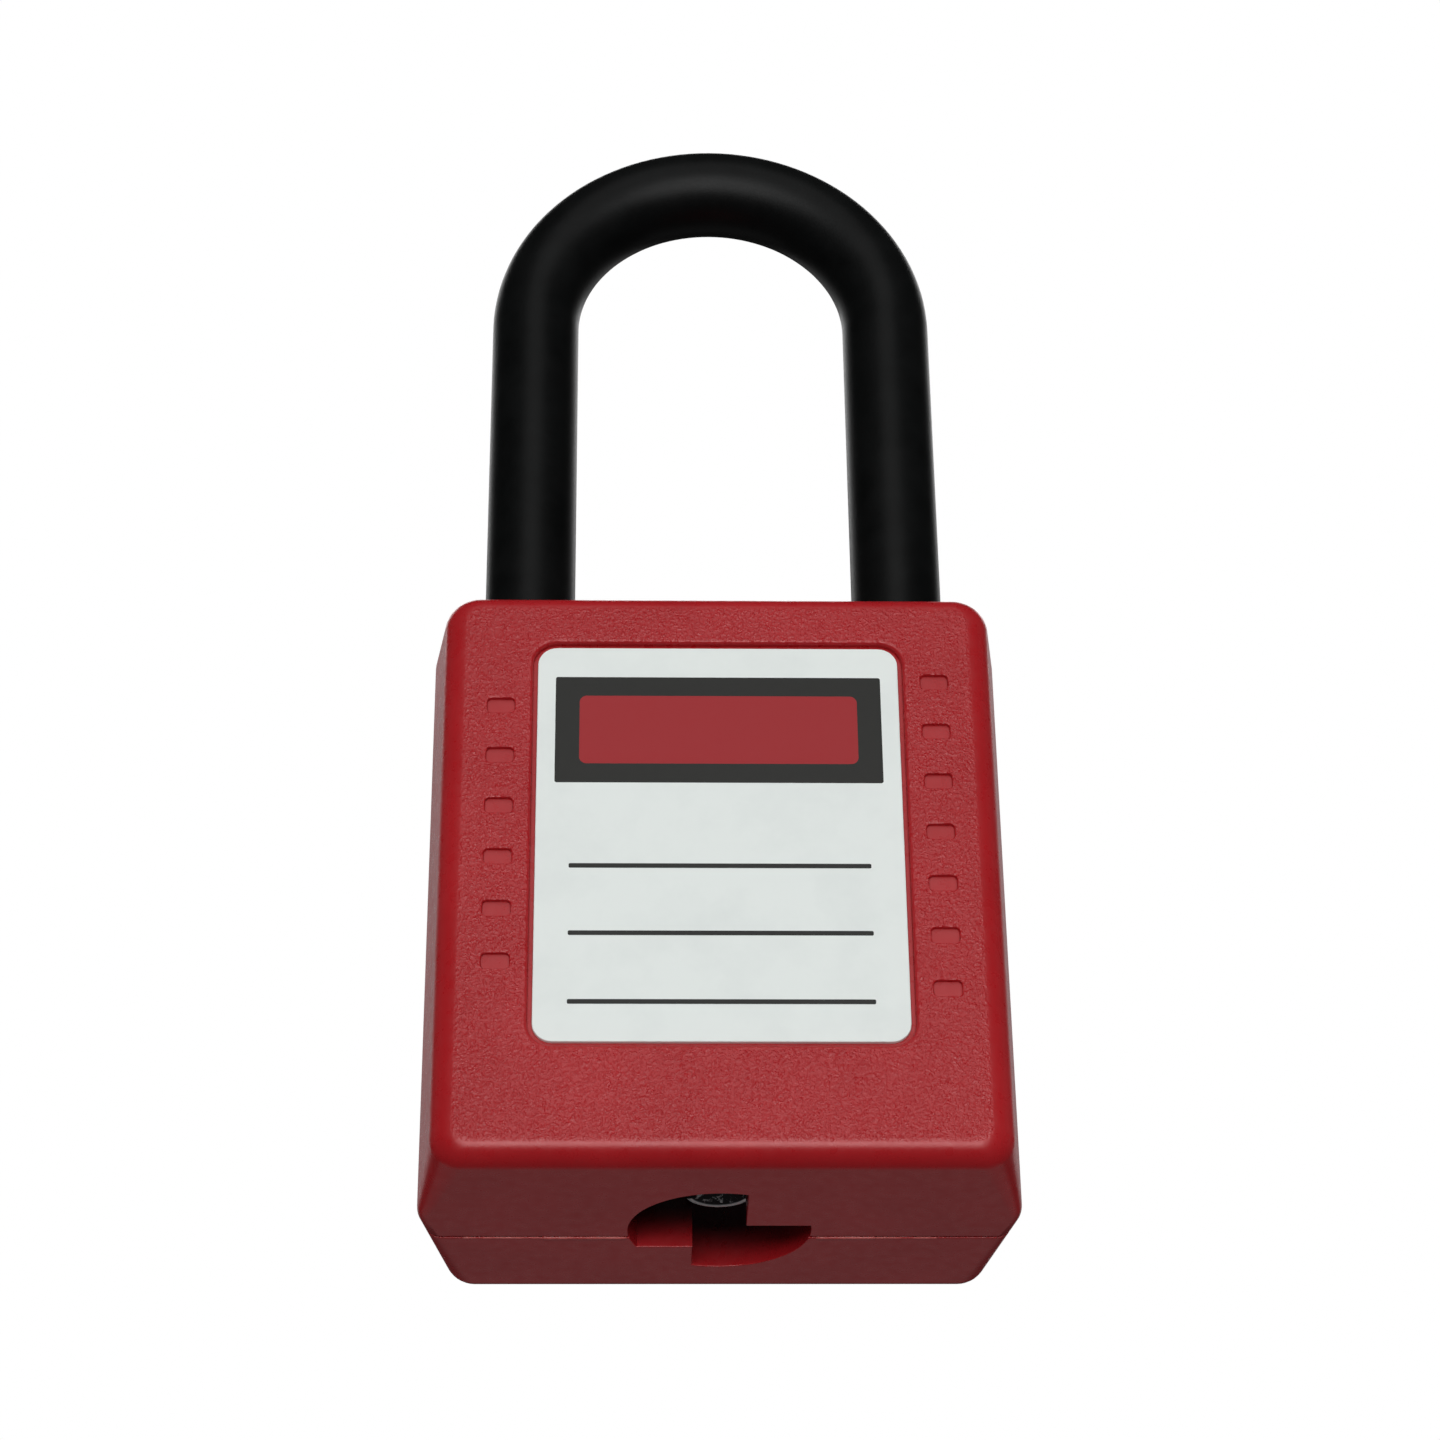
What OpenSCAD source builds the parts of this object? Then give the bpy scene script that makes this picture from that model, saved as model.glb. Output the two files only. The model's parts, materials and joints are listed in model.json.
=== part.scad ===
// Safety padlock with a moulded plastic body and a nylon shackle.
// Millimetres. +X right, front face towards -Y, +Z up along the shackle.
// The body stands on z = 0 and is centred on X and Y. The shackle is closed
// and the plug is at its unlocked angle, so the bolts are drawn in.

/* [Body] */
// Width of the body at its widest line
body_w = 38.8; // [38:0.1:50]
// Height of the body
body_h = 41.8; // [41:0.1:60]
// Depth of the body, front to back
body_d = 21.2; // [21:0.1:28]
// Width of the front face before its edges are rounded
face_w = 36.2; // [32:0.1:38]
// Width of the back face before its edges are rounded
back_w = 35.6; // [32:0.1:37]
// Front face to the widest line of the sides
belly_depth = 9.2; // [6:0.1:11]
// Front face to the parting plane
part_depth = 12.2; // [12.2:0.1:14]
// Rounding of the front face's edges
face_r = 1.6; // [0.5:0.1:2.4]
// Rounding of the back face's edges
back_r = 1.5; // [0.5:0.1:2.4]
// Rounding of the four upright corners seen from the front
corner_r = 1.2; // [0.5:0.1:4]
// Thickness of the side, front and back walls
wall = 2.0; // [1.6:0.1:2.4]
// Thickness of the bottom wall, a deep well round the key opening
floor_t = 4.4; // [3.6:0.1:4.8]
// Thickness of the top wall
roof_t = 3.0; // [2:0.1:4]

/* [Shackle] */
// Diameter of the shackle bar
shackle_d = 6.3; // [5:0.1:7.2]
// Distance between the centres of the two legs
leg_pitch = 25.8; // [25:0.1:27]
// Front face to the plane of the shackle
shackle_depth = 9.7; // [9:0.1:11]
// Clear height between the body and the bow
clear_h = 38.9; // [30:0.1:80]
// Length of the toe leg inside the body
toe_depth = 11.2; // [10:0.1:12]
// Length of the heel leg inside the body
heel_depth = 29.6; // [28:0.1:32]
// Radial clearance of a leg in its bore
leg_gap = 0.2; // [0.1:0.05:0.4]
// Distance from a leg's surface to the floor of its notch or neck
notch_depth = 1.1; // [0.8:0.1:1.3]
// Depth of the toe leg's notch
toe_notch_depth = 1.9; // [1.5:0.1:2.2]
// Length of the full-size foot below the heel leg's neck
foot_h = 4.0; // [3:0.1:5]
// Diameter of the pin that keeps the heel leg in the body
stop_pin_d = 1.8; // [1.4:0.1:2]

/* [Label] */
// Width of the front and rear labels
label_w = 24.0; // [20:0.1:26]
// Height of the front and rear labels
label_h = 29.2; // [24:0.1:31]
// Bottom of the body to the bottom of the labels
label_z = 8.2; // [5:0.1:9]
// Corner rounding of the labels
label_r = 1.3; // [0.5:0.1:2]
// Thickness of the labels
label_t = 0.3; // [0.2:0.05:0.4]
// Depth of the recesses that hold the labels
label_recess = 0.5; // [0.4:0.05:0.6]
// Gap round each label
label_gap = 0.3; // [0.1:0.05:0.5]
// Height steps between the dimples beside the label
dimple_pitch = 3.8; // [3:0.1:4]
// Depth of the dimples
dimple_depth = 0.25; // [0.1:0.05:0.4]

/* [Key opening] */
// Diameter of the round part of the key opening
opening_d = 11.8; // [11:0.1:12.4]
// Front face to the centre of the round part
opening_depth = 11.1; // [10.8:0.1:12]
// Width of the key opening's slot
opening_slot = 3.4; // [3:0.1:4]

/* [Cylinder] */
// Front face to the plug's axis
axis_depth = 12.0; // [11.2:0.1:12]
// Diameter of the plug
plug_d = 8.0; // [7.4:0.1:8.2]
// Diameter of the plug's front flange
flange_d = 9.8; // [9:0.1:10]
// Diameter of the plug's nose
nose_d = 4.5; // [4:0.1:4.6]
// How far the nose stands down into the key opening
nose_reach = 1.4; // [0.5:0.1:2]
// Outside diameter of the cylinder housing
housing_d = 12.0; // [11.8:0.1:12.6]
// Height of the cylinder housing
housing_h = 22.0; // [21.6:0.1:23]
// Width of the keyway
keyway_w = 1.8; // [1.4:0.1:2]
// Length of the keyway across the plug
keyway_l = 6.0; // [5:0.1:6.4]
// Number of pin stacks
stacks = 5; // [3:1:5]
// Distance between the pin stacks
stack_pitch = 3.5; // [3.2:0.1:3.6]
// Bottom of the housing to the first pin stack
first_stack = 4.6; // [4.4:0.1:5]
// Diameter of the pins
pin_d = 2.2; // [1.8:0.1:2.3]
// Length of the driver pins
driver_l = 2.0; // [1.6:0.1:2.2]
// Travel of the pins
pin_travel = 1.0; // [0.6:0.1:1.1]
// Radial running clearance of the plug and the pins
run_gap = 0.05; // [0.03:0.01:0.08]

/* [Bolts] */
// Travel of each bolt
bolt_travel = 2.0; // [1.8:0.05:2.1]
// Height of the bolts
bolt_h = 3.8; // [3:0.1:4]
// Width of a bolt's tip
bolt_tip_w = 4.0; // [3:0.1:4.4]
// Top wall to the top of the bolts
bolt_drop = 2.4; // [2:0.1:3]
// Diameter of the scroll cam
cam_d = 11.8; // [11.6:0.1:12]
// Thickness of the scroll cam
cam_t = 2.4; // [2:0.1:3]
// Plug axis to the bolt pegs with the bolts drawn in
peg_reach = 2.6; // [2.4:0.1:2.8]
// Diameter of the bolt pegs
peg_d = 1.4; // [1.2:0.1:1.6]

/* [Hidden] */
$fn = 64;
eps = 0.01;      // overshoot of a cut past the face it opens
big = 200;       // longer than the part in any direction
slide_gap = 0.2; // clearance of the sliding bolts and the pieces round them
seat_gap = 0.15; // clearance of a still piece in its seat

// Planes and centres
front_y = -body_d / 2;
back_y = body_d / 2;
belly_y = front_y + belly_depth;
part_y = front_y + part_depth;
axis_y = front_y + axis_depth;
opening_y = front_y + opening_depth;
leg_y = front_y + shackle_depth;
leg_x = leg_pitch / 2;
leg_r = shackle_d / 2;
bore_r = leg_r + leg_gap;
guide_wall = 1.0;
core_half = leg_x - bore_r - guide_wall; // half width of the middle of the body
cavity_top = body_h - roof_t;

// Shackle
bow_r = leg_x;
bow_z = body_h + clear_h - (bow_r - leg_r);
toe_end = body_h - toe_depth;
heel_end = body_h - heel_depth;
lift = toe_depth + 0.8; // opens the toe 0.8 above the body
neck_r = leg_r - notch_depth;

// Bolts, from the top wall down
bolt_top = cavity_top - bolt_drop;
bolt_bottom = bolt_top - bolt_h;
neck_bottom = heel_end + foot_h;
neck_top = bolt_top - lift + 0.5;
stop_z = neck_bottom + lift + stop_pin_d / 2 + 0.1;
stop_x = leg_x + neck_r + seat_gap + stop_pin_d / 2;
stop_l = 2 * (bore_r + guide_wall);
toe_bolt_tip = leg_x - bore_r - 0.1;
heel_bolt_tip = leg_x - neck_r - slide_gap - bolt_travel;
bolt_body_end = core_half - slide_gap - bolt_travel;
bolt_back = axis_y + peg_d / 2 + 0.5;
bolt_front = leg_y - bolt_tip_w / 2 - 0.1;

// Cam and the pieces round it
cam_top = bolt_bottom - 0.6;
cam_bottom = cam_top - cam_t;
cup_floor_top = cam_bottom - slide_gap;
cup_top = cam_top + slide_gap;
insert_back = back_y - wall - label_recess - seat_gap;
insert_front = axis_y - cam_d / 2 - 1.4;
insert_half = core_half - 0.25;
slot_r = peg_d / 2 + 0.1;
stem_d = 4.8;

// Cylinder, from the bottom wall up
housing_bottom = floor_t;
housing_top = housing_bottom + housing_h;
nose_bottom = floor_t - nose_reach;
flange_bottom = floor_t + 0.2;
flange_top = flange_bottom + 1.2;
clip_t = 0.5;
clip_d = plug_d + 2.0;
clip_groove_d = plug_d - 1.2;
plug_top = housing_top + 1.0;
tongue_top = plug_top + 1.2;
stem_bottom = plug_top + 0.1;
tongue_w = 1.6;
rest_turn = -90; // the plug's angle with the shackle free
bible_w = pin_d + 2.4;
bible_top = stack_z(stacks) + pin_d / 2 + 1.2;
cover_t = 0.5;
bible_tip = front_y + label_recess + wall + 0.1 + cover_t;
shear_r = plug_d / 2;
pin_r = pin_d / 2;
driver_inner = axis_y - shear_r - 2 * run_gap;
driver_outer = driver_inner - driver_l;
tip_reach = [1.4, 1.9, 1.3, 2.2, 1.6]; // how far each key pin's tip stays from the axis
chamber_end = pin_travel - min(tip_reach) + 0.4; // past the axis, clear of every tip

function stack_z(i) = housing_bottom + first_stack + stack_pitch * (i - 1);

// Points of a rounded corner at p, between the neighbours a and b
function unit(v) = v / norm(v);
function corner(p, a, b, r, n = 6) =
    let (u = unit(a - p), v = unit(b - p))
    let (half = acos(u * v) / 2)
    let (c = p + unit(u + v) * r / sin(half))
    let (s = p + u * r / tan(half) - c, e = p + v * r / tan(half) - c)
    let (from = atan2(s.y, s.x), to = atan2(e.y, e.x))
    let (turn = to - from, way = turn > 180 ? turn - 360 : turn < -180 ? turn + 360 : turn)
    [for (k = [0:n]) c + r * [cos(from + way * k / n), sin(from + way * k / n)]];

// Section of the body seen from below, drawn in by t
function section(t) =
    let (f = [face_w / 2 - t, front_y + t], m = [body_w / 2 - t, belly_y])
    let (b = [back_w / 2 - t, back_y - t], rf = max(face_r - t, 0.4), rb = max(back_r - t, 0.4))
    concat(corner(f, [-f.x, f.y], m, rf), [m], corner(b, m, [-b.x, b.y], rb),
        corner([-b.x, b.y], b, [-m.x, m.y], rb), [[-m.x, m.y]],
        corner([-f.x, f.y], [-m.x, m.y], f, rf));

// Outline of the body seen from the side
function side_outline() =
    let (a = [front_y, 0], b = [back_y, 0], c = [back_y, body_h], d = [front_y, body_h])
    concat(corner(a, d, b, face_r), corner(b, a, c, back_r), corner(c, b, d, back_r),
        corner(d, c, a, face_r));

// Rectangle from x0, y0 to x1, y1 with rounded corners
function round_box(x0, y0, x1, y1, r) =
    let (a = [x0, y0], b = [x1, y0], c = [x1, y1], d = [x0, y1])
    concat(corner(a, d, b, r), corner(b, a, c, r), corner(c, b, d, r), corner(d, c, a, r));

// Points of one side of the scroll: radius grows evenly while the cam turns a quarter
scroll_steps = 18;
function scroll_point(k, side) =
    let (t = k / scroll_steps, a = -90 * t, r = peg_reach + bolt_travel * t)
    let (grow = bolt_travel / 90 * 180 / PI, d = unit([-grow, r]))
    let (n = [d.y, -d.x] * slot_r * side)
    [(r + n.x) * cos(a) - n.y * sin(a), (r + n.x) * sin(a) + n.y * cos(a)];

module box(x0, x1, y0, y1, z0, z1) {
    translate([x0, y0, z0]) cube([x1 - x0, y1 - y0, z1 - z0]);
}

// Solid outline of the whole body
module body_block() {
    intersection() {
        linear_extrude(body_h) polygon(section(0));
        rotate([90, 0, 90]) linear_extrude(big, center = true) polygon(side_outline());
        rotate([90, 0, 0]) linear_extrude(big, center = true)
            polygon(round_box(-body_w / 2, 0, body_w / 2, body_h, corner_r));
    }
}

// Hollow inside the walls, with the leg guides, post and cradles left standing
module cavity() {
    difference() {
        translate([0, 0, floor_t]) linear_extrude(cavity_top - floor_t) polygon(inner_section());
        leg_guide(-1, 0);
        leg_guide(1, toe_end - 2);
        for (z = [housing_bottom + 3, housing_bottom + 11, housing_top - 3.5]) cradle(z, 2);
    }
}

function inner_section() =
    [for (p = section(wall)) [p.x, min(max(p.y, front_y + wall + label_recess),
        back_y - wall - label_recess)]];

// Block that guides one leg, out to the side wall
module leg_guide(side, z0) {
    half = bore_r + guide_wall + 0.2;
    x0 = side > 0 ? core_half : -body_w;
    box(x0, x0 + body_w - (side > 0 ? 0 : core_half), leg_y - half, leg_y + half, z0, body_h);
}

// Rib that holds the cylinder housing
module cradle(z, t) {
    difference() {
        box(-core_half - 2, core_half + 2, front_y, back_y, z, z + t);
        translate([0, axis_y, z - eps]) cylinder(r = housing_d / 2 + seat_gap, h = t + 2 * eps);
        box(-bible_w / 2 - seat_gap, bible_w / 2 + seat_gap, front_y, axis_y, z - eps, z + t + eps);
    }
}

// Everything cut out of the body for the pieces that it holds
module body_cuts() {
    cavity();
    for (side = [-1, 1]) {
        z0 = side < 0 ? floor_t : toe_end - 0.3;
        translate([side * leg_x, leg_y, z0]) cylinder(r = bore_r, h = big);
        x1 = side < 0 ? -core_half + eps : leg_x;
        x0 = side < 0 ? -leg_x : core_half - eps;
        box(x0, x1, leg_y - bolt_tip_w / 2 - seat_gap, leg_y + bolt_tip_w / 2 + seat_gap,
            bolt_bottom - seat_gap, bolt_top + seat_gap);
    }
    translate([-stop_x, leg_y + stop_l / 2, stop_z]) rotate([90, 0, 0])
        cylinder(d = stop_pin_d, h = stop_l);
    key_opening();
    label_pocket(front_y + label_recess, front_y - 1);
    label_pocket(back_y + 1, back_y - label_recess);
    dimples();
}

// Round opening with two opposite quarters left standing
module key_opening() {
    h = opening_slot / 2;
    r = opening_d / 2;
    intersection() {
        translate([0, opening_y, -1]) cylinder(r = r, h = floor_t + 1 + eps);
        union() {
            box(-r - 1, h, opening_y - r - 1, axis_y + h, -1, floor_t + eps);
            box(-h, r + 1, axis_y - h, opening_y + r + 1, -1, floor_t + eps);
        }
    }
}

module label_plate(grow, y_back, y_front) {
    translate([0, y_back, 0]) rotate([90, 0, 0]) linear_extrude(y_back - y_front)
        polygon(round_box(-label_w / 2 - grow, label_z - grow, label_w / 2 + grow,
            label_z + label_h + grow, label_r + grow));
}

module label_pocket(y_back, y_front) {
    label_plate(label_gap, y_back, y_front);
}

// Two columns of small sunk bars beside the label
module dimples() {
    x = (label_w / 2 + label_gap + face_w / 2 - face_r) / 2;
    for (side = [-1, 1]) {
        count = side < 0 ? 6 : 7;
        mid = label_z + label_h / 2 + 0.5;
        for (k = [0:count - 1]) {
            z = mid + ((count - 1) / 2 - k) * dimple_pitch;
            box(side * x - 0.9, side * x + 0.9, front_y - 1, front_y + dimple_depth,
                z - 0.55, z + 0.55);
        }
    }
}

// Welding pegs of the front shell, or with a gap their sockets
module pegs(gap) {
    x = body_w / 2 - wall - 0.2;
    for (side = [-1, 1], z = [7, body_h / 2, body_h - 6])
        translate([side * x, part_y + 1.5 + gap, z]) rotate([90, 0, 0])
            cylinder(d = 1.4 + 2 * gap, h = 1.5 + gap + (gap > 0 ? eps : 0.5));
}

module front_shell() {
    color("firebrick") union() {
        difference() {
            intersection() {
                body_block();
                box(-big, big, front_y - 1, part_y, -1, body_h + 1);
            }
            body_cuts();
        }
        pegs(0);
    }
}

module rear_cover() {
    color("firebrick") difference() {
        intersection() {
            body_block();
            box(-big, big, part_y, back_y + 1, -1, body_h + 1);
        }
        body_cuts();
        pegs(0.05);
    }
}

module front_label() {
    color("white") label_plate(0, front_y + label_recess, front_y + label_recess - label_t);
}

module rear_label() {
    color("white") label_plate(0, back_y - label_recess + label_t, back_y - label_recess);
}

// Bow, legs, notches, the heel leg's neck and the run for its stop pin
module shackle() {
    color("black") difference() {
        union() {
            translate([0, leg_y, bow_z]) rotate([90, 0, 0])
                rotate_extrude(angle = 180) translate([bow_r, 0]) circle(r = leg_r);
            translate([leg_x, leg_y, toe_end + 0.8]) cylinder(r = leg_r, h = bow_z - toe_end - 0.8);
            translate([leg_x, leg_y, toe_end]) cylinder(r1 = leg_r - 0.8, r2 = leg_r, h = 0.8);
            translate([-leg_x, leg_y, heel_end]) cylinder(r = leg_r, h = bow_z - heel_end);
        }
        bolt_z0 = bolt_bottom - slide_gap;
        bolt_z1 = bolt_top + slide_gap;
        y0 = leg_y - leg_r - 1;
        y1 = leg_y + leg_r + 1;
        box(0, leg_x - leg_r + toe_notch_depth, y0, y1, bolt_z0, bolt_z1);
        box(-leg_x + neck_r, 0, y0, y1, bolt_z0, bolt_z1);
        difference() {
            translate([-leg_x, leg_y, neck_bottom])
                cylinder(r = leg_r + 1, h = neck_top - neck_bottom);
            translate([-leg_x, leg_y, neck_bottom - 1]) cylinder(r = neck_r, h = big);
        }
        box(-leg_x - leg_r - 1, -leg_x - neck_r, y0, y1,
            neck_bottom, stop_z + stop_pin_d / 2 + slide_gap);
    }
}

module heel_stop_pin() {
    color("silver") translate([-stop_x, leg_y + stop_l / 2, stop_z]) rotate([90, 0, 0])
        cylinder(d = stop_pin_d, h = stop_l);
}

// Coil spring along +Z from z = 0, wire centre line inside the length
module coil(mean_r, wire_r, length, turns, steps, sides) {
    n = turns * steps;
    rise = length - 2 * wire_r;
    points = [for (i = [0:n]) for (k = [0:sides - 1])
        let (a = 360 * i / steps, b = 360 * k / sides)
        [(mean_r + wire_r * cos(b)) * cos(a), (mean_r + wire_r * cos(b)) * sin(a),
            wire_r + rise * i / n + wire_r * sin(b)]];
    skin = [for (i = [0:n - 1]) for (k = [0:sides - 1])
        let (q = (k + 1) % sides)
        [i * sides + k, i * sides + q, (i + 1) * sides + q, (i + 1) * sides + k]];
    ends = [[for (k = [0:sides - 1]) sides - 1 - k], [for (k = [0:sides - 1]) n * sides + k]];
    polyhedron(points, concat([for (f = skin) [f[3], f[2], f[1], f[0]]],
        [for (e = ends) [for (k = [0:sides - 1]) e[sides - 1 - k]]]));
}

module shackle_spring() {
    wire_r = 0.45;
    color("silver") translate([-leg_x, leg_y, floor_t + 0.1])
        coil(leg_r - wire_r - 0.15, wire_r, heel_end - floor_t - 0.15, 7, 14, 8);
}

// Round housing with the pin chambers' block towards the front
module cylinder_housing() {
    color("gainsboro") difference() {
        union() {
            translate([0, axis_y, housing_bottom]) cylinder(d = housing_d, h = housing_h);
            box(-bible_w / 2, bible_w / 2, bible_tip, axis_y, flange_top, bible_top);
        }
        translate([0, axis_y, housing_bottom - 1]) cylinder(r = shear_r + run_gap, h = housing_h + 2);
        translate([0, axis_y, housing_bottom - 1])
            cylinder(r = flange_d / 2 + 0.1, h = flange_top - housing_bottom + 1.05);
        for (i = [1:stacks]) chamber(stack_z(i));
    }
}

module chamber(z) {
    translate([0, axis_y - 1, z]) rotate([90, 0, 0]) cylinder(r = pin_r + run_gap, h = body_d);
}

module chamber_cover() {
    color("goldenrod") box(-bible_w / 2, bible_w / 2, bible_tip - cover_t, bible_tip, flange_top, bible_top);
}

// Places a piece of the plug at its rest angle
module in_plug() {
    translate([0, axis_y, 0]) rotate([0, 0, rest_turn]) children();
}

module plug() {
    color("silver") in_plug() difference() {
        union() {
            translate([0, 0, nose_bottom]) cylinder(d = nose_d, h = nose_reach + 1);
            translate([0, 0, flange_bottom]) cylinder(d = flange_d, h = flange_top - flange_bottom);
            translate([0, 0, flange_bottom + 0.5]) cylinder(r = shear_r, h = plug_top - flange_bottom - 0.5);
            box(-tongue_w / 2, tongue_w / 2, -stem_d / 2 + 0.3, stem_d / 2 - 0.3, plug_top - 1, tongue_top);
        }
        translate([0, 0, nose_bottom - eps]) cylinder(d1 = nose_d - 0.5, d2 = nose_d - 1.7, h = 0.8);
        box(-keyway_w / 2, keyway_w / 2, -keyway_l / 2, keyway_l / 2, 0, stack_z(stacks) + 2);
        for (i = [1:stacks]) translate([0, chamber_end, stack_z(i)]) rotate([90, 0, 0])
            cylinder(r = pin_r + run_gap, h = plug_d);
        difference() {
            translate([0, 0, housing_top + 0.1]) cylinder(d = plug_d + 1, h = clip_t + 0.1);
            cylinder(d = clip_groove_d, h = big);
        }
    }
}

// Open ring that holds the plug in its housing
module plug_clip() {
    color("dimgray") in_plug() difference() {
        translate([0, 0, housing_top + 0.15]) cylinder(d = clip_d, h = clip_t);
        cylinder(d = clip_groove_d + 0.1, h = big);
        box(-clip_groove_d / 2 * 0.8, clip_groove_d / 2 * 0.8, 0, plug_d, 0, big);
    }
}

// Pin from its tip to the shear line, its outer end rounded like the plug
module key_pin(i) {
    tip = tip_reach[i - 1];
    cone = 0.6;
    color("goldenrod") in_plug() intersection() {
        union() {
            translate([0, -tip - cone, stack_z(i)]) rotate([90, 0, 0]) cylinder(r = pin_r, h = plug_d);
            translate([0, -tip, stack_z(i)]) rotate([90, 0, 0])
                cylinder(r1 = pin_r - cone, r2 = pin_r, h = cone);
        }
        cylinder(r = shear_r - run_gap / 2, h = big);
    }
}

module driver_pin(i) {
    color("silver") difference() {
        translate([0, driver_inner + 0.5, stack_z(i)]) rotate([90, 0, 0])
            cylinder(r = pin_r, h = driver_l + 0.5);
        translate([0, axis_y, 0]) cylinder(r = shear_r + 2 * run_gap, h = big);
    }
}

module driver_spring(i) {
    wire_r = 0.14;
    color("silver") translate([0, driver_outer - 0.02, stack_z(i)]) rotate([90, 0, 0])
        coil(pin_r - wire_r - 0.1, wire_r, driver_outer - bible_tip - 0.04, 3, 10, 6);
}

// Disc with two scroll slots, on a stem that takes the plug's tongue
module scroll_cam() {
    color("gainsboro") in_place() difference() {
        union() {
            translate([0, 0, cam_bottom]) cylinder(d = cam_d, h = cam_t);
            translate([0, 0, stem_bottom]) cylinder(d = stem_d, h = cam_bottom - stem_bottom + 0.5);
        }
        for (turn = [0, 180]) rotate([0, 0, turn]) translate([0, 0, cam_bottom - 1])
            linear_extrude(cam_t + 2) scroll();
        rotate([0, 0, rest_turn]) box(-tongue_w / 2 - 0.05, tongue_w / 2 + 0.05, -stem_d, stem_d,
            stem_bottom - 1, tongue_top + 0.1);
    }
}

module in_place() {
    translate([0, axis_y, 0]) children();
}

module scroll() {
    polygon(concat([for (k = [0:scroll_steps]) scroll_point(k, 1)],
        [for (k = [scroll_steps:-1:0]) scroll_point(k, -1)]));
    translate([peg_reach, 0]) circle(r = slot_r);
    translate([0, -peg_reach - bolt_travel]) circle(r = slot_r);
}

// Insert round the cam, standing on the cylinder housing
module cam_cup() {
    color("whitesmoke") difference() {
        box(-insert_half, insert_half, insert_front, insert_back, housing_top + 0.1, cup_top);
        in_place() {
            translate([0, 0, cup_floor_top]) cylinder(d = cam_d + 0.3, h = big);
            cylinder(d = stem_d + 0.3, h = big);
            cylinder(d = clip_d + 0.6, h = plug_top + 0.3);
        }
    }
}

// Insert over the cam, with the channel that the bolts slide in
module bolt_block() {
    color("whitesmoke") difference() {
        box(-insert_half, insert_half, insert_front, insert_back, cup_top, cavity_top - 0.1);
        box(-big, big, bolt_front - seat_gap, bolt_back + seat_gap, cup_top - 1, bolt_top + seat_gap);
    }
}

// Bolt with a narrow tip and a peg in the cam's scroll, side 1 toe or -1 heel
module bolt(side, tip) {
    gap = 0.5;
    color("gainsboro") mirror([side < 0 ? 1 : 0, 0, 0]) union() {
        box(gap, bolt_body_end, bolt_front, bolt_back, bolt_bottom, bolt_top);
        box(bolt_body_end - 1, tip, leg_y - bolt_tip_w / 2, leg_y + bolt_tip_w / 2, bolt_bottom, bolt_top);
        translate([peg_reach, axis_y, cam_bottom + 0.2])
            cylinder(d = peg_d, h = bolt_bottom - cam_bottom + 0.3);
    }
}

module toe_bolt() {
    bolt(1, toe_bolt_tip);
}

module heel_bolt() {
    bolt(-1, heel_bolt_tip);
}

front_shell();
rear_cover();
front_label();
rear_label();
shackle();
shackle_spring();
heel_stop_pin();
cylinder_housing();
plug();
plug_clip();
chamber_cover();
key_pin(1);  // key_pin_1
key_pin(2);  // key_pin_2
key_pin(3);  // key_pin_3
key_pin(4);  // key_pin_4
key_pin(5);  // key_pin_5
driver_pin(1);  // driver_pin_1
driver_pin(2);  // driver_pin_2
driver_pin(3);  // driver_pin_3
driver_pin(4);  // driver_pin_4
driver_pin(5);  // driver_pin_5
driver_spring(1);  // driver_spring_1
driver_spring(2);  // driver_spring_2
driver_spring(3);  // driver_spring_3
driver_spring(4);  // driver_spring_4
driver_spring(5);  // driver_spring_5
scroll_cam();
cam_cup();
bolt_block();
toe_bolt();
heel_bolt();
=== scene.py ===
import json
import math

import bmesh
import bpy
from mathutils import Matrix, Vector

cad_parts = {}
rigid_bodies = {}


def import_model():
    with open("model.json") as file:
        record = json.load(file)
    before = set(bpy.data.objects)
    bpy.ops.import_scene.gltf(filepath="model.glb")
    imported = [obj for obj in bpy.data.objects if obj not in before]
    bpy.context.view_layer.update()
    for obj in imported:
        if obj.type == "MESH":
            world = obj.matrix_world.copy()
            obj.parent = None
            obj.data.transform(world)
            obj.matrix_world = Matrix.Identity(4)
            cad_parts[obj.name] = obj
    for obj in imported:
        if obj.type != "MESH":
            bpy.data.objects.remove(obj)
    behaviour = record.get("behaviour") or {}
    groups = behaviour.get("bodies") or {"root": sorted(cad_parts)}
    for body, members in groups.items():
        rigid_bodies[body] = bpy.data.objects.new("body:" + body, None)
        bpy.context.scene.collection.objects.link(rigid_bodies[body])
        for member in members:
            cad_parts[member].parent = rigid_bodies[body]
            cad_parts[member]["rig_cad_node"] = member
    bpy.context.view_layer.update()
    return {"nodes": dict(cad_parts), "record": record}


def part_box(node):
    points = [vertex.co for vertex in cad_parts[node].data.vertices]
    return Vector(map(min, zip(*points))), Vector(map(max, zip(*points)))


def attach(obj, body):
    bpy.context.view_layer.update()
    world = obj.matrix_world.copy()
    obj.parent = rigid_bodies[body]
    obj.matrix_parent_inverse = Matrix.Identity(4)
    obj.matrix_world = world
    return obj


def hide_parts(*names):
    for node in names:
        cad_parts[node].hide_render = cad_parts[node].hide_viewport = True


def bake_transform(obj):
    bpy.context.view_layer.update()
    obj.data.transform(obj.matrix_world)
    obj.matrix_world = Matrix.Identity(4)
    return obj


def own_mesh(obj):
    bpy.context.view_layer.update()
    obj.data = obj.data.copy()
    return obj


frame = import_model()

mm = 0.001
far = 60 * mm               # past the lock's edge from anywhere inside it
past = 1.0 * mm             # how far a cut runs out past a face
sliver = 0.01 * mm          # how far cuts that meet run into each other
sameLevel = 0.002 * mm      # points this near a plane lie in it
weldDistance = 0.0004 * mm  # points nearer than this become one

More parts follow.
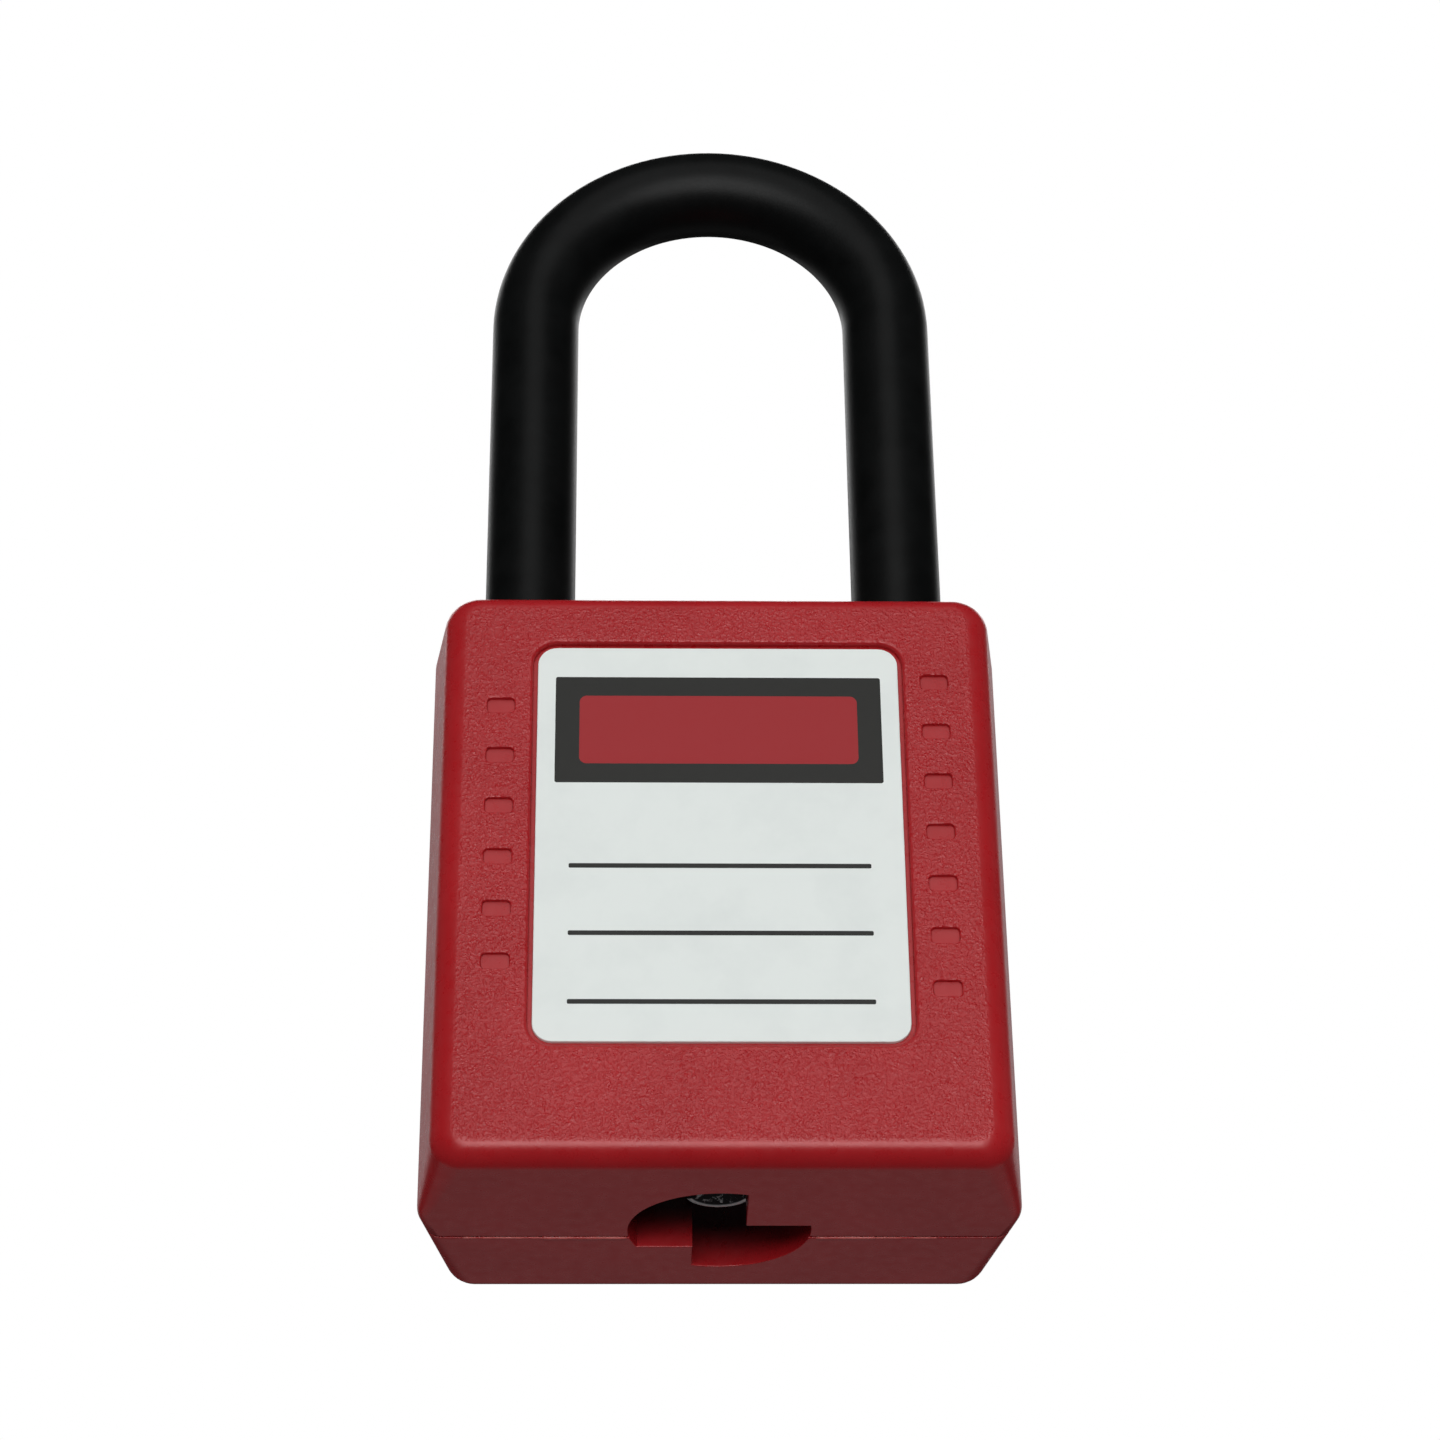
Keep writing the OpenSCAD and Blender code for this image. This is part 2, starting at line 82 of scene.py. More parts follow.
# Places from the CAD that everything is built from
shellLow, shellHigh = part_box("front_shell")
coverLow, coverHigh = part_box("rear_cover")
frontY, backY, partY = shellLow.y, coverHigh.y, coverLow.y
sideX, topZ = shellHigh.x, coverHigh.z
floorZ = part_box("cylinder_housing")[0].z
roofGap = 0.1 * mm          # bolt block to the top wall
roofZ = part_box("bolt_block")[1].z + roofGap

shackleLow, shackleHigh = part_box("shackle")
barRadius = (shackleHigh.y - shackleLow.y) / 2
legY = (shackleHigh.y + shackleLow.y) / 2
legX = shackleHigh.x - barRadius
bowZ = shackleHigh.z - barRadius - legX
heelEndZ = shackleLow.z
toeDepth = 11.2 * mm        # length of the toe leg inside the body
toeEndZ = topZ - toeDepth
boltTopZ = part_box("toe_bolt")[1].z

plugLow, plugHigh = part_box("plug")
axisY = (plugLow.y + plugHigh.y) / 2


# Leaves one object selected and active, in object mode
def pickOnly(thing):
    if bpy.context.object and bpy.context.object.mode != "OBJECT":
        bpy.ops.object.mode_set(mode="OBJECT")
    bpy.ops.object.select_all(action="DESELECT")
    thing.select_set(True)
    bpy.context.view_layer.objects.active = thing


# Names the active object and moves its place, turn and scale into its mesh
def settle(name):
    thing = bpy.context.active_object
    pickOnly(thing)
    bpy.ops.object.transform_apply(location=True, rotation=True, scale=True)
    thing.name = thing.data.name = name
    return thing


def addBlock(name, low, high):
    low, high = Vector(low), Vector(high)
    bpy.ops.mesh.primitive_cube_add(size=1, location=(low + high) / 2, scale=high - low)
    return settle(name)


def addRod(name, radius, start, end, sides=64):
    start, end = Vector(start), Vector(end)
    turn = (end - start).to_track_quat("Z", "Y").to_euler()
    bpy.ops.mesh.primitive_cylinder_add(
        vertices=sides, radius=radius, depth=(end - start).length,
        location=(start + end) / 2, rotation=turn)
    return settle(name)


# Goes into edit mode and selects the edges or faces that pass the test
def selectWhere(thing, kind, test):
    pickOnly(thing)
    bpy.ops.object.mode_set(mode="EDIT")
    bpy.ops.mesh.select_mode(type=kind)
    bpy.ops.mesh.select_all(action="DESELECT")
    bm = bmesh.from_edit_mesh(thing.data)
    for part in {"EDGE": bm.edges, "FACE": bm.faces}[kind]:
        part.select_set(bool(test(part)))
    bm.select_flush_mode()
    bmesh.update_edit_mesh(thing.data)


def alongAxis(edge, axis, least=0.98):
    run = edge.verts[1].co - edge.verts[0].co
    return run.length > 0 and abs(run.normalized()[axis]) > least


def inPlane(edge, axis, level):
    return all(abs(v.co[axis] - level) < sameLevel for v in edge.verts)


def roundEdges(thing, test, width, steps):
    selectWhere(thing, "EDGE", test)
    bpy.ops.mesh.bevel(offset_type="OFFSET", offset=width, segments=steps, profile=0.5,
                       affect="EDGES", clamp_overlap=False)
    bpy.ops.object.mode_set(mode="OBJECT")


def bisectAll(thing, point, normal, **keep):
    selectWhere(thing, "FACE", lambda face: True)
    bpy.ops.mesh.bisect(plane_co=point, plane_no=normal, **keep)
    bpy.ops.object.mode_set(mode="OBJECT")


def combine(thing, other, how="DIFFERENCE"):
    pickOnly(thing)
    step = thing.modifiers.new("shape", "BOOLEAN")
    step.operation, step.solver, step.object = how, "EXACT", other
    bpy.ops.object.modifier_apply(modifier=step.name)
    mesh = other.data
    bpy.data.objects.remove(other)
    bpy.data.meshes.remove(mesh)


def cleanMesh(thing):
    selectWhere(thing, "FACE", lambda face: True)
    bpy.ops.mesh.remove_doubles(threshold=weldDistance)
    bpy.ops.mesh.dissolve_degenerate(threshold=weldDistance)
    bpy.ops.object.mode_set(mode="OBJECT")


def smooth(thing, degrees=32):
    pickOnly(thing)
    bpy.ops.object.shade_smooth_by_angle(angle=math.radians(degrees))
    step = thing.modifiers.new("even shading", "WEIGHTED_NORMAL")
    step.keep_sharp = True
    bpy.ops.object.modifier_apply(modifier=step.name)


# Opens the end face out in a quarter round, then carries it on past the surface
def flareMouth(thing, test, outward, width, height, lip, steps=4):
    across = [axis for axis in range(3) if abs(outward[axis]) < 0.5]
    half = [width / 2, height / 2]
    rise = done = 0.0
    selectWhere(thing, "FACE", test)
    for step in range(1, steps + 1):
        turn = math.pi / 2 * step / steps
        up, out = lip * math.sin(turn), lip * (1 - math.cos(turn))
        scale = [1.0, 1.0, 1.0]
        for axis, size in zip(across, half):
            scale[axis] = (size + out) / (size + done)
        bpy.ops.mesh.extrude_region_move(
            TRANSFORM_OT_translate={"value": Vector(outward) * (up - rise)})
        bpy.ops.transform.resize(value=scale)
        rise, done = up, out
    bpy.ops.mesh.extrude_region_move(TRANSFORM_OT_translate={"value": Vector(outward) * past})
    bpy.ops.object.mode_set(mode="OBJECT")


def newMaterial(name, **shaderValues):
    material = bpy.data.materials.new(name)
    material.use_nodes = True
    shader = material.node_tree.nodes["Principled BSDF"]
    for socket, value in shaderValues.items():
        shader.inputs[socket.replace("_", " ")].default_value = value
    return material, shader


def addNode(material, kind, inputs=(), **settings):
    node = material.node_tree.nodes.new(kind)
    for key, value in settings.items():
        setattr(node, key, value)
    for socket, value in dict(inputs).items():
        if isinstance(value, bpy.types.NodeSocket):
            material.node_tree.links.new(value, node.inputs[socket])
        else:
            node.inputs[socket].default_value = value
    return node


def feed(material, output, shader, socket):
    material.node_tree.links.new(output, shader.inputs[socket])


def place(material):
    return addNode(material, "ShaderNodeTexCoord").outputs["Object"]


def noise(material, size, detail=2.0, roughness=0.5, at=None):
    node = addNode(material, "ShaderNodeTexNoise",
                   {"Vector": at or place(material), "Scale": 1 / size, "Detail": detail,
                    "Roughness": roughness})
    return node.outputs["Fac"]


# Turns start to end into low to high
def spread(material, value, low, high, start=0.3, end=0.7):
    node = addNode(material, "ShaderNodeMapRange",
                   {"Value": value, "From Min": start, "From Max": end, "To Min": low,
                    "To Max": high})
    return node.outputs["Result"]


def blendColours(material, amount, first, second):
    node = addNode(material, "ShaderNodeMix", data_type="RGBA")
    sockets = [s for s in node.inputs if s.type == "RGBA"]
    for socket, value in zip(sockets, (first, second)):
        if isinstance(value, bpy.types.NodeSocket):
            material.node_tree.links.new(value, socket)
        else:
            socket.default_value = value
    factor = next(s for s in node.inputs if s.type == "VALUE")
    material.node_tree.links.new(amount, factor)
    return next(s for s in node.outputs if s.type == "RGBA")


def maths(material, operation, first, second=0.0):
    return addNode(material, "ShaderNodeMath", {0: first, 1: second},
                   operation=operation).outputs[0]


def addBump(material, height, shader, depth):
    bump = addNode(material, "ShaderNodeBump", {"Height": height, "Distance": depth})
    feed(material, bump.outputs["Normal"], shader, "Normal")


body = {
    "faceWidth": 36.2 * mm,
    "backWidth": 35.6 * mm,
    "bellyDepth": 9.2 * mm,     # front face to the widest line
    "faceCorner": 2.4 * mm,
    "bellyCorner": 0.7 * mm,
    "backCorner": 2.0 * mm,
    "faceRound": 1.6 * mm,
    "backRound": 1.5 * mm,
    "bellyRound": 0.7 * mm,
    "frontSeamRound": 0.30 * mm,
    "rearSeamRound": 0.12 * mm,
    "wall": 2.0 * mm,
    "recess": 0.5 * mm,         # of both labels
    "recessGap": 0.3 * mm,      # round each label
    "recessRound": 1.6 * mm,
    "recessLip": 0.28 * mm,
    "legGap": 0.2 * mm,
    "boreLip": 0.25 * mm,
    "guideWall": 1.0 * mm,      # round each leg's bore
    "guideSpare": 0.2 * mm,
    "toeGuideDrop": 2.0 * mm,   # toe leg's guide below its bore
    "toeBoreSpare": 0.3 * mm,   # bore below the toe leg's end
    "openingDiameter": 11.8 * mm,
    "openingDepth": 11.1 * mm,  # front face to the round part's centre
    "openingSlot": 3.4 * mm,
    "openingEdge": 0.08 * mm,
    "openingEdgeReach": 0.05 * mm,
    "pegDiameter": 1.4 * mm,
    "pegLength": 1.5 * mm,
    "pegRoot": 0.5 * mm,
    "pegRound": 0.2 * mm,
    "pegGap": 0.05 * mm,        # in its socket
    "pegInset": 0.2 * mm,       # from the side wall
    "pegFromEnds": (7.0 * mm, 6.0 * mm),
    "ribThickness": 2.0 * mm,
    "ribOverlap": 2.0 * mm,     # into the leg guides
    "ribsAbove": (3.0 * mm, 11.0 * mm),     # lower end of the cylinder housing
    "topRibBelow": 3.5 * mm,    # its upper end
    "seatGap": 0.15 * mm,
}
bolt = {"height": 3.8 * mm, "tipWidth": 4.0 * mm}
bellyY = frontY + body["bellyDepth"]
openingY = frontY + body["openingDepth"]
boreRadius = barRadius + body["legGap"]
coreHalf = legX - boreRadius - body["guideWall"]


redPlastic = {
    "colour": (0.37, 0.0085, 0.012, 1),
    "paler": (0.41, 0.012, 0.016, 1),
    "grain": 0.24 * mm,
    "grainDepth": 0.05 * mm,
    "plainGrain": 0.03,         # share of the grain left off the front and back faces
    # painted shade colour for the walls inside the key opening
    "openingShade": (0.020, 0.0006, 0.0012, 1),
    "openingShadeHeight": 2.8 * mm,      # up to where the painted shade on the key opening's walls reaches
    "openingShadePower": 0.6,
    "openingShadeReach": 0.06 * mm,      # past the opening's radius
    "specular": 0.36,
    "cloud": 6.0 * mm,
    "roughPatch": 0.8 * mm,
    "grainFrom": 0.06 * mm,     # inside the front and back faces
    "grainFull": 0.002 * mm,
    "roughLow": 0.24,
    "roughHigh": 0.36,
}


# Share of painted shade: nought outside the key opening, and nearer one the higher up inside
# it
def openingShadeShare(material, at):
    axes = addNode(material, "ShaderNodeSeparateXYZ", {"Vector": at}).outputs
    across = maths(material, "POWER", axes["X"], 2.0)
    along = maths(material, "POWER", maths(material, "SUBTRACT", axes["Y"], openingY), 2.0)
    away = maths(material, "SQRT", maths(material, "ADD", across, along))
    radius = body["openingDiameter"] / 2 + redPlastic["openingShadeReach"]
    inside = maths(material, "LESS_THAN", away, radius)
    low = maths(material, "LESS_THAN", axes["Z"], floorZ + past)
    height = spread(material, axes["Z"], 0, 1, 0, redPlastic["openingShadeHeight"])
    return maths(material, "MULTIPLY", maths(material, "MULTIPLY", inside, low),
                 maths(material, "POWER", height, redPlastic["openingShadePower"]))


# Spark-eroded grain on the front and back faces, smoother edges and ends, and painted shade
# darkening the key opening's walls
def makeRedPlastic():
    material, shader = newMaterial("mouldedRed", IOR=1.49,
                                   Specular_IOR_Level=redPlastic["specular"])
    at = place(material)
    cloud = noise(material, redPlastic["cloud"], 3, at=at)
    red = blendColours(material, spread(material, cloud, 0, 1), redPlastic["colour"],
                       redPlastic["paler"])
    # painted shade: the key opening's walls are coloured darker the higher up inside they are
    feed(material, blendColours(material, openingShadeShare(material, at), red, redPlastic["openingShade"]),
         shader, "Base Color")
    depth = addNode(material, "ShaderNodeSeparateXYZ", {"Vector": at}).outputs["Y"]
    fromMiddle = maths(material, "ABSOLUTE",
                       maths(material, "SUBTRACT", depth, (frontY + backY) / 2))
    reach = (backY - frontY) / 2
    share = spread(material, fromMiddle, redPlastic["plainGrain"], 1.0,
                   reach - redPlastic["grainFrom"], reach - redPlastic["grainFull"])
    grain = spread(material, noise(material, redPlastic["grain"], 2, 0.6, at=at), 0, 1,
                   0.42, 0.70)
    patches = noise(material, redPlastic["roughPatch"], 3, at=at)
    feed(material, spread(material, patches, redPlastic["roughLow"], redPlastic["roughHigh"]),
         shader, "Roughness")
    evened = maths(material, "SUBTRACT", grain, 0.4)
    addBump(material, maths(material, "MULTIPLY", evened, share), shader,
           redPlastic["grainDepth"])
    return material


blackNylon = {
    "colour": (0.0022, 0.0025, 0.0025, 1),
    "paler": (0.0042, 0.0046, 0.0046, 1),
    "grain": 0.12 * mm,
    "grainDepth": 0.006 * mm,
    "specular": 0.11,
    "cloud": 2.5 * mm,
    "roughLow": 0.34,
    "roughHigh": 0.44,
}


def makeBlackNylon():
    material, shader = newMaterial("blackNylonBar", IOR=1.50,
                                   Specular_IOR_Level=blackNylon["specular"])
    at = place(material)
    cloud = noise(material, blackNylon["cloud"], 3, at=at)
    feed(material, blendColours(material, spread(material, cloud, 0, 1), blackNylon["colour"],
                                blackNylon["paler"]), shader, "Base Color")
    grain = noise(material, blackNylon["grain"], 2, 0.6, at=at)
    feed(material, spread(material, grain, blackNylon["roughLow"], blackNylon["roughHigh"]),
         shader, "Roughness")
    addBump(material, grain, shader, blackNylon["grainDepth"])
    return material


metals = {
    # slot: (name, colour, darker, roughness, stretch of its streaks, their size)
    "steel": ("turnedSteel", (0.62, 0.62, 0.61, 1), (0.42, 0.42, 0.42, 1), 0.28,
              (1, 1, 5), 0.25 * mm),
    "spring_steel": ("springSteel", (0.46, 0.46, 0.45, 1), (0.30, 0.30, 0.30, 1), 0.32,
                     (1, 1, 3), 0.2 * mm),
    "zinc": ("castZinc", (0.50, 0.50, 0.52, 1), (0.40, 0.40, 0.42, 1), 0.46,
             (1, 1, 1), 0.3 * mm),
    "brass": ("brass", (0.72, 0.50, 0.21, 1), (0.56, 0.37, 0.14, 1), 0.30,
              (3, 3, 1), 0.25 * mm),
}
metalStreaks = {"depth": 0.003 * mm, "roughSpread": 0.07}


# Brushed or cast metal with fine streaks along one axis
def makeMetal(name, colour, darker, roughness, streak, size):
    material, shader = newMaterial(name, Metallic=1.0)
    at = addNode(material, "ShaderNodeMapping",
                 {"Vector": place(material), "Scale": streak}).outputs["Vector"]
    lines = noise(material, size, 4, 0.6, at=at)
    feed(material, blendColours(material, spread(material, lines, 0, 1), colour, darker),
         shader, "Base Color")
    off = metalStreaks["roughSpread"]
    feed(material, spread(material, lines, roughness - off, roughness + off), shader,
         "Roughness")
    addBump(material, lines, shader, metalStreaks["depth"])
    return material


naturalNylon = {
    "colour": (0.72, 0.69, 0.60, 1),
    "paler": (0.80, 0.78, 0.70, 1),
    "cloud": 3.0 * mm,
    "roughPatch": 0.3 * mm,
    "roughLow": 0.40,
    "roughHigh": 0.52,
}


def makeNaturalNylon():
    material, shader = newMaterial("naturalNylon", IOR=1.53)
    at = place(material)
    cloud = noise(material, naturalNylon["cloud"], 3, at=at)
    feed(material, blendColours(material, spread(material, cloud, 0, 1),
                                naturalNylon["colour"], naturalNylon["paler"]), shader,
         "Base Color")
    patches = noise(material, naturalNylon["roughPatch"], 2, at=at)
    feed(material, spread(material, patches, naturalNylon["roughLow"],
                          naturalNylon["roughHigh"]), shader, "Roughness")
    return material


labelPrint = {
    "film": (0.80, 0.845, 0.815, 1),
    "scuffed": (0.74, 0.785, 0.76, 1),
    "ink": (0.022, 0.022, 0.020, 1),
    "redInk": (0.335, 0.020, 0.024, 1),
    "headTop": 2.3 * mm,        # below the label's top edge
    "headHeight": 8.1 * mm,
    "headWidth": 21.6 * mm,
    "headCorner": 0.15 * mm,
    "barWidth": 18.4 * mm,
    "barHeight": 5.2 * mm,
    "barCorner": 0.5 * mm,
    "lineWidth": 19.6 * mm,
    "lineThickness": 0.34 * mm,
    "lineCorner": 0.1 * mm,
    "firstLine": 16.6 * mm,     # below the label's top edge
    "linePitch": 4.9 * mm,
    "plainRise": 9.0 * mm,      # lines sit this much higher where there is no header
    "specular": 0.17,
    "cloud": 4.0 * mm,
    "roughPatch": 0.5 * mm,
    "roughLow": 0.30,
    "roughHigh": 0.42,
    "wave": 5.0 * mm,
    "waveDepth": 0.02 * mm,
}


# One inside a rectangle with round corners and nought outside it
def patch(material, across, up, centre, width, height, corner):
    reach = []
    for value, middleAt, size in ((across, centre[0], width), (up, centre[1], height)):
        off = maths(material, "ABSOLUTE", maths(material, "SUBTRACT", value, middleAt))
        reach.append(maths(material, "MAXIMUM",
                           maths(material, "SUBTRACT", off, size / 2 - corner), 0.0))
    squares = [maths(material, "MULTIPLY", r, r) for r in reach]
    distance = maths(material, "SQRT", maths(material, "ADD", *squares))
    return maths(material, "LESS_THAN", distance, corner)


def makeLabelFilm(name, node, lines, header):
    low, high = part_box(node)
    material, shader = newMaterial(name, IOR=1.5, Specular_IOR_Level=labelPrint["specular"])
    at = place(material)
    cloud = noise(material, labelPrint["cloud"], 4, 0.6, at=at)
    film = blendColours(material, spread(material, cloud, 0, 0.7, 0.45, 0.75),
                        labelPrint["film"], labelPrint["scuffed"])
    axes = addNode(material, "ShaderNodeSeparateXYZ", {"Vector": at}).outputs
    if header:
        centre = (0, high.z - labelPrint["headTop"] - labelPrint["headHeight"] / 2)
        head = patch(material, axes["X"], axes["Z"], centre, labelPrint["headWidth"],
                     labelPrint["headHeight"], labelPrint["headCorner"])
        bar = patch(material, axes["X"], axes["Z"], centre, labelPrint["barWidth"],
                    labelPrint["barHeight"], labelPrint["barCorner"])
        film = blendColours(material, head, film, labelPrint["ink"])
        film = blendColours(material, bar, film, labelPrint["redInk"])
    for k in range(lines):
        z = high.z - labelPrint["firstLine"] - k * labelPrint["linePitch"]
        if not header:
            z += labelPrint["plainRise"]
        line = patch(material, axes["X"], axes["Z"], (0, z), labelPrint["lineWidth"],
                     labelPrint["lineThickness"], labelPrint["lineCorner"])
        film = blendColours(material, line, film, labelPrint["ink"])
    feed(material, film, shader, "Base Color")
    patches = noise(material, labelPrint["roughPatch"], 2, at=at)
    feed(material, spread(material, patches, labelPrint["roughLow"], labelPrint["roughHigh"]),
         shader, "Roughness")
    addBump(material, noise(material, labelPrint["wave"], 2, at=at), shader,
            labelPrint["waveDepth"])
    return material


print("materials")
redMaterial = makeRedPlastic()
blackMaterial = makeBlackNylon()
slotMaterials = {slot: makeMetal(*values) for slot, values in metals.items()}
slotMaterials["red_plastic"] = redMaterial
slotMaterials["black_nylon"] = blackMaterial
slotMaterials["natural_nylon"] = makeNaturalNylon()


# Round-cornered rectangle as tall as the body, with no face
def addOutline(y, width, corner):
    bpy.ops.mesh.primitive_plane_add(
        size=1, location=(0, y, topZ / 2), rotation=(math.pi / 2, 0, 0))
    outline = settle("outline")
    selectWhere(outline, "EDGE", lambda edge: True)
    bpy.ops.transform.resize(value=(width, 1, topZ))
    bpy.ops.mesh.bevel(offset_type="OFFSET", offset=corner, segments=10, profile=0.5,
                       affect="VERTICES", clamp_overlap=False)
    bpy.ops.mesh.select_all(action="SELECT")
    bpy.ops.mesh.delete(type="ONLY_FACE")
    bpy.ops.object.mode_set(mode="OBJECT")
    return outline


def makeBodyForm(name):
    rings = ((frontY, body["faceWidth"], body["faceCorner"]),
             (bellyY, 2 * sideX, body["bellyCorner"]),
             (backY, body["backWidth"], body["backCorner"]))
    outlines = [addOutline(*ring) for ring in rings]
    form = outlines[0]
    pickOnly(form)
    for outline in outlines:
        outline.select_set(True)
    bpy.ops.object.join()
    form.name = form.data.name = name
    for one, other in ((frontY, bellyY), (bellyY, backY)):
        selectWhere(form, "EDGE", lambda e: inPlane(e, 1, one) or inPlane(e, 1, other))
        bpy.ops.mesh.bridge_edge_loops()
        bpy.ops.object.mode_set(mode="OBJECT")
    for end in (frontY, backY):
        selectWhere(form, "EDGE", lambda e: inPlane(e, 1, end))
        bpy.ops.mesh.edge_face_add()
        bpy.ops.object.mode_set(mode="OBJECT")
    selectWhere(form, "FACE", lambda face: True)
    bpy.ops.mesh.normals_make_consistent(inside=False)
    bpy.ops.object.mode_set(mode="OBJECT")
    roundEdges(form, lambda e: inPlane(e, 1, frontY), body["faceRound"], 9)
    roundEdges(form, lambda e: inPlane(e, 1, backY), body["backRound"], 9)
    roundEdges(form, lambda e: inPlane(e, 1, bellyY) and not alongAxis(e, 0, 0.999),
               body["bellyRound"], 4)
    return form


# Hollow of the body, with the leg guides and the cylinder's ribs left standing
def makeHollow():
    inset = body["wall"] + body["recess"]
    hollow = addBlock("hollow", (-sideX + body["wall"], frontY + inset, floorZ),
                      (sideX - body["wall"], backY - inset, roofZ))
    bisectAll(hollow, (0, bellyY, 0), (0, 1, 0))
    for towards, width in ((-1, body["faceWidth"]), (1, body["backWidth"])):
        selectWhere(hollow, "FACE", lambda face: face.normal.y * towards > 0.9)
        size = (width / 2 - body["wall"]) / (sideX - body["wall"])
        bpy.ops.transform.resize(value=(size, 1, 1))
        bpy.ops.object.mode_set(mode="OBJECT")
    guideHalf = boreRadius + body["guideWall"] + body["guideSpare"]
    toeGuideZ = toeEndZ - body["toeGuideDrop"]
    for x0, x1, z0 in ((-far, -coreHalf, -past), (coreHalf, far, toeGuideZ)):
        combine(hollow, addBlock("guide", (x0, legY - guideHalf, z0),
                                 (x1, legY + guideHalf, far)))
    housingLow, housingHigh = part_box("cylinder_housing")
    seat = housingHigh.x + body["seatGap"]
    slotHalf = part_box("chamber_cover")[1].x + body["seatGap"]
    ribHalf = coreHalf + body["ribOverlap"]
    ribs = [housingLow.z + above for above in body["ribsAbove"]]
    for z in (*ribs, housingHigh.z - body["topRibBelow"]):
        ribTop = z + body["ribThickness"]
        low, high = z - past, ribTop + 2 * past
        rib = addBlock("rib", (-ribHalf, -far, z), (ribHalf, far, ribTop))
        combine(rib, addRod("seat", seat, (0, axisY, low), (0, axisY, high)))
        combine(rib, addBlock("slot", (-slotHalf, -2 * far, low), (slotHalf, axisY, high)))
        combine(hollow, rib)
    return hollow


# Round opening with two opposite quarters left standing
def makeOpening():
    radius, half = body["openingDiameter"] / 2, body["openingSlot"] / 2
    opening = addRod("opening", radius, (0, openingY, -past),
                     (0, openingY, floorZ + sliver), 96)
    for side in (-1, 1):
        x = sorted((side * half, side * far))
        y = sorted((axisY - side * half, axisY - side * far))
        combine(opening, addBlock("quarter", (x[0], y[0], -far), (x[1], y[1], far)))
    return opening


# Shallow pocket with a soft lip, open towards side -1 front or 1 back
def makePocket(name, low, high, side, surfaceY, depth, corner, lip):
    floorY = surfaceY - side * depth
    mouthY = surfaceY - side * lip
    y0, y1 = sorted((floorY, mouthY))
    pocket = addBlock(name, (low[0], y0, low[1]), (high[0], y1, high[1]))
    roundEdges(pocket, lambda e: alongAxis(e, 1), corner, 6)
    flareMouth(pocket, lambda f: f.normal.y * side > 0.9, (0, side, 0), high[0] - low[0],
               high[1] - low[1], lip)
    return pocket


def makeBore(name, x, z0):
    lip = body["boreLip"]
    bore = addRod(name, boreRadius, (x, legY, z0), (x, legY, topZ - lip), 72)
    flareMouth(bore, lambda f: f.normal.z > 0.9, (0, 0, 1), 2 * boreRadius, 2 * boreRadius,
               lip)
    return bore


# Small sunk bars in a column on each side of the front label
bars = {
    "width": 1.8 * mm,
    "height": 1.1 * mm,
    "depth": 0.25 * mm,
    "corner": 0.3 * mm,
    "lip": 0.12 * mm,
    "pitch": 3.8 * mm,
    "rise": 0.5 * mm,           # column's middle above the label's
    "leftCount": 6,
    "rightCount": 7,
}


def addBars(shell):
    labelLow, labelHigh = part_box("front_label")
    x = (labelHigh.x + body["recessGap"] + body["faceWidth"] / 2 - body["faceRound"]) / 2
    midZ = (labelLow.z + labelHigh.z) / 2 + bars["rise"]
    for side, count in ((-1, bars["leftCount"]), (1, bars["rightCount"])):
        for k in range(count):
            z = midZ + ((count - 1) / 2 - k) * bars["pitch"]
            low = (side * x - bars["width"] / 2, z - bars["height"] / 2)
            high = (side * x + bars["width"] / 2, z + bars["height"] / 2)
            combine(shell, makePocket("bar", low, high, -1, frontY, bars["depth"],
                                      bars["corner"], bars["lip"]))


def cutBody(shell):
    combine(shell, makeHollow())
    combine(shell, makeBore("heelBore", -legX, floorZ))
    combine(shell, makeBore("toeBore", legX, toeEndZ - body["toeBoreSpare"]))
    gap = body["seatGap"]
    for x0, x1 in ((-legX, -coreHalf + sliver), (coreHalf - sliver, legX)):
        half = bolt["tipWidth"] / 2 + gap
        combine(shell, addBlock("window", (x0, legY - half, boltTopZ - bolt["height"] - gap),
                                (x1, legY + half, boltTopZ + gap)))
    pinLow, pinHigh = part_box("heel_stop_pin")
    pinAt = (pinLow + pinHigh) / 2
    combine(shell, addRod("pinHole", (pinHigh.x - pinLow.x) / 2 + sliver,
                          (pinAt.x, pinLow.y - sliver, pinAt.z),
                          (pinAt.x, pinHigh.y + sliver, pinAt.z), 32))
    combine(shell, makeOpening())


def finishShell(shell):
    cleanMesh(shell)
    radius = body["openingDiameter"] / 2 + body["openingEdgeReach"]
    roundEdges(shell, lambda e: inPlane(e, 2, 0) and len(e.link_faces) == 2
               and e.calc_face_angle(0) > 1 and all(
                   (v.co.xy - Vector((0, openingY))).length < radius for v in e.verts),
               body["openingEdge"], 2)
    cleanMesh(shell)
    smooth(shell)
    shell.data.materials.clear()
    shell.data.materials.append(redMaterial)


# Where the front shell's pegs stand across and up
def pegPlaces():
    x = sideX - body["wall"] - body["pegInset"]
    fromBottom, fromTop = body["pegFromEnds"]
    return [(side * x, z) for side in (-1, 1)
            for z in (fromBottom, topZ / 2, topZ - fromTop)]


def makeLabelPocket(node, side, surfaceY):
    low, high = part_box(node)
    grow = body["recessGap"]
    return makePocket("pocket", (low.x - grow, low.z - grow), (high.x + grow, high.z + grow),
                      side, surfaceY, body["recess"], body["recessRound"],
                      body["recessLip"])


